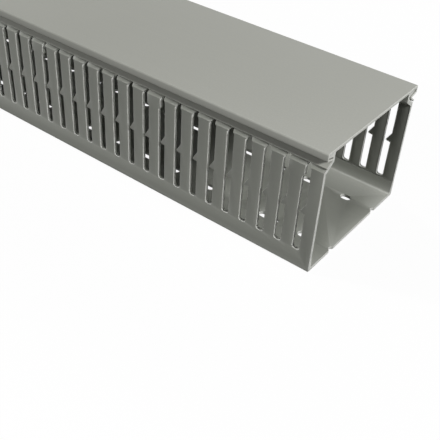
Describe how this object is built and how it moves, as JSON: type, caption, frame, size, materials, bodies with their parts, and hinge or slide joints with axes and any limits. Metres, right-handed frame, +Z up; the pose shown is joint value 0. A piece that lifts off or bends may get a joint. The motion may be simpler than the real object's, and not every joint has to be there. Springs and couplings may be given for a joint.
{
  "type": "slotted wire duct",
  "caption": "Open-topped wiring duct with fingered, barbed side walls, slotted base and a full-length clip-on cover held by hooked finger heads.",
  "frame": {"origin": "centre of the overall length and width, on the underside of the base", "axes": "+X along the duct towards the end where the cover stands out, +Y across it, +Z up out of the duct's open top"},
  "size_m": [1.0008, 0.1, 0.08],
  "materials": {
    "duct_pvc": "extruded rigid PVC, grey, slightly matt",
    "cover_pvc": "extruded rigid PVC, grey, slightly matt"
  },
  "bodies": {
    "duct": {"duct": "duct_pvc"},
    "cover": {"cover": "cover_pvc"}
  },
  "joints": [
    {"name": "cover_slide", "type": "slide", "parent": "duct", "child": "cover", "axis": [1, 0, 0], "range_m": [-1.01, 1.01]}
  ]
}
